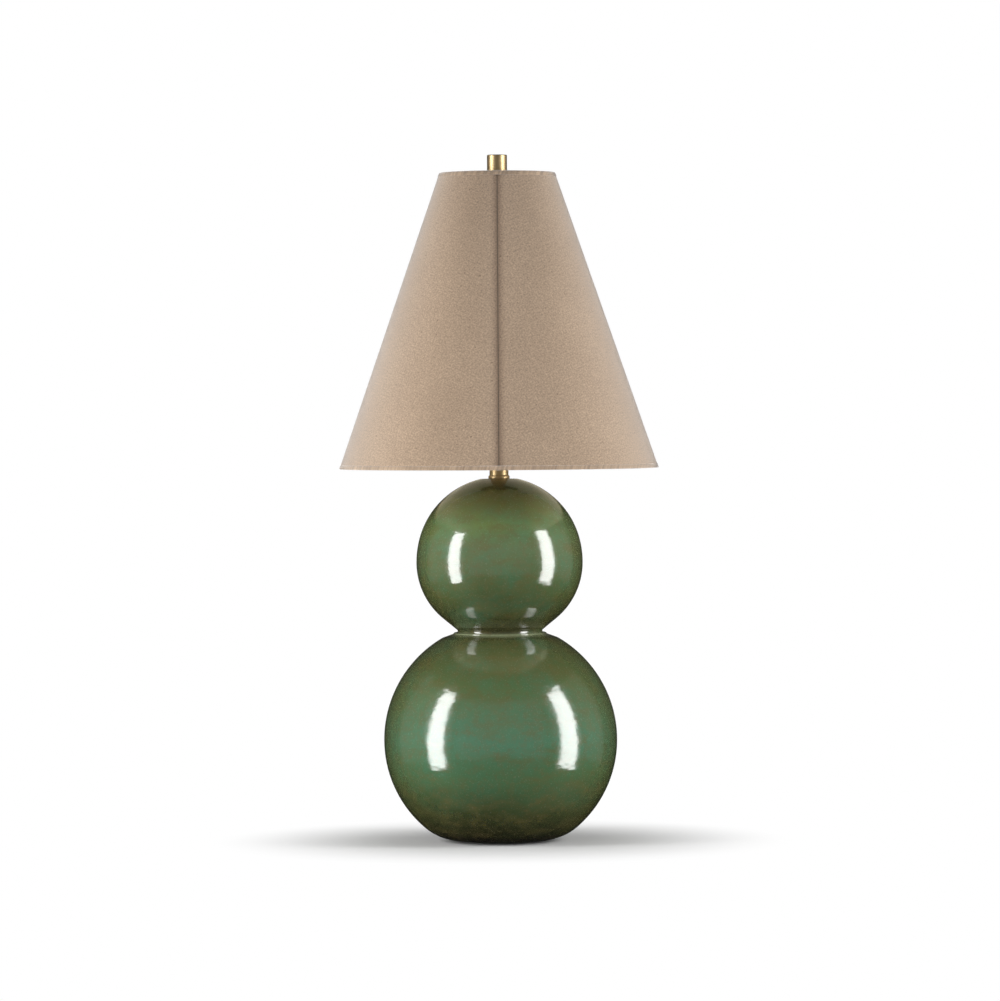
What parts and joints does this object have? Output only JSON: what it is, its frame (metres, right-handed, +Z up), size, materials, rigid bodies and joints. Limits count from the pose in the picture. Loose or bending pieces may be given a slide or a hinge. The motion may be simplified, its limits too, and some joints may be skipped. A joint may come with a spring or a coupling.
{
  "type": "double gourd table lamp",
  "caption": "Table lamp: a glazed ceramic base of two stacked globes, brass neck, harp and tall linen cone shade with a seam, topped by a brass cylinder finial.",
  "frame": {"origin": "on the table under the lamp's axis, at the underside of the felt pad", "axes": "+Z up the lamp's axis, +Y to the back where the cord leaves, +X to the right as seen from the front"},
  "size_m": [0.305, 0.305, 0.6531],
  "materials": {
    "green_glaze": "glossy reactive green glaze, teal where thick and olive-brown where thin",
    "brass": "satin-polished brass",
    "socket_brass": "brass-finished shell",
    "brass_plated_steel": "brass-plated steel",
    "zinc_steel": "zinc-plated steel",
    "black_rubber": "matt black rubber",
    "felt": "dark wool felt",
    "insulator_paper": "fibre paper tube",
    "phenolic": "black phenolic",
    "black_plastic": "moulded black plastic",
    "white_plastic": "white moulded plastic",
    "bulb_cap_metal": "nickel-finished screw cap",
    "frosted_globe": "frosted white globe",
    "linen": "fleece-backed taupe linen",
    "linen_trim": "taupe linen, rolled",
    "seam_tape": "brown seam tape",
    "liner": "white styrene liner",
    "shade_wire": "brass-plated wire"
  },
  "bodies": {
    "base": {"felt_pad": "felt", "ceramic_lower_globe": "green_glaze", "ceramic_upper_globe": "green_glaze", "cord_bushing": "black_rubber", "bottom_gasket": "black_rubber", "bottom_plate": "zinc_steel", "bottom_lock_washer": "zinc_steel", "bottom_nut": "zinc_steel", "lamp_pipe": "zinc_steel", "check_ring": "brass", "neck_tube": "brass", "saddle_washer": "zinc_steel", "harp_saddle": "brass_plated_steel", "socket_cap": "socket_brass", "cap_set_screw": "zinc_steel", "socket_shell": "socket_brass", "shell_insulator": "insulator_paper", "socket_block": "phenolic", "terminal_screws": "brass", "thread_shell": "socket_brass", "centre_contact": "brass"},
    "harp": {"harp_frame": "brass_plated_steel"},
    "sleeve_left": {"harp_sleeve_left": "brass_plated_steel"},
    "sleeve_right": {"harp_sleeve_right": "brass_plated_steel"},
    "swivel": {"harp_stud": "brass_plated_steel"},
    "shade": {"shade_panel_left": "linen", "shade_panel_right": "linen", "seam_tape_front": "seam_tape", "seam_tape_back": "seam_tape", "shade_liner": "liner", "top_trim": "linen_trim", "bottom_trim": "linen_trim", "bottom_ring": "shade_wire", "spider_fitter": "shade_wire"},
    "finial_body": {"finial": "brass"},
    "bulb": {"bulb_contact": "phenolic", "bulb_cap": "bulb_cap_metal", "bulb_housing": "white_plastic", "bulb_globe": "frosted_globe"},
    "switch": {"switch_shaft": "brass", "switch_knob": "black_plastic"}
  },
  "joints": [
    {"name": "harp_lift", "type": "slide", "parent": "base", "child": "harp", "axis": [0, 0, 1], "range_m": [0, 0.016]},
    {"name": "sleeve_left_slide", "type": "slide", "parent": "harp", "child": "sleeve_left", "axis": [0, 0, 1], "range_m": [0, 0.0142]},
    {"name": "sleeve_right_slide", "type": "slide", "parent": "harp", "child": "sleeve_right", "axis": [0, 0, 1], "range_m": [0, 0.0142]},
    {"name": "shade_turn", "type": "hinge", "parent": "harp", "child": "swivel", "pos_m": [0, 0, 0.62], "axis": [0, 0, 1], "continuous": true},
    {"name": "shade_lift", "type": "slide", "parent": "swivel", "child": "shade", "axis": [0, 0, 1], "range_m": [0, 0.3]},
    {"name": "finial_lift", "type": "slide", "parent": "shade", "child": "finial_body", "axis": [0, 0, 1], "range_m": [0, 0.02]},
    {"name": "bulb_lift", "type": "slide", "parent": "base", "child": "bulb", "axis": [0, 0, 1], "range_m": [0, 0.027]},
    {"name": "switch_turn", "type": "hinge", "parent": "base", "child": "switch", "pos_m": [0, -0.03, 0.42565], "axis": [0, -1, 0], "continuous": true}
  ]
}
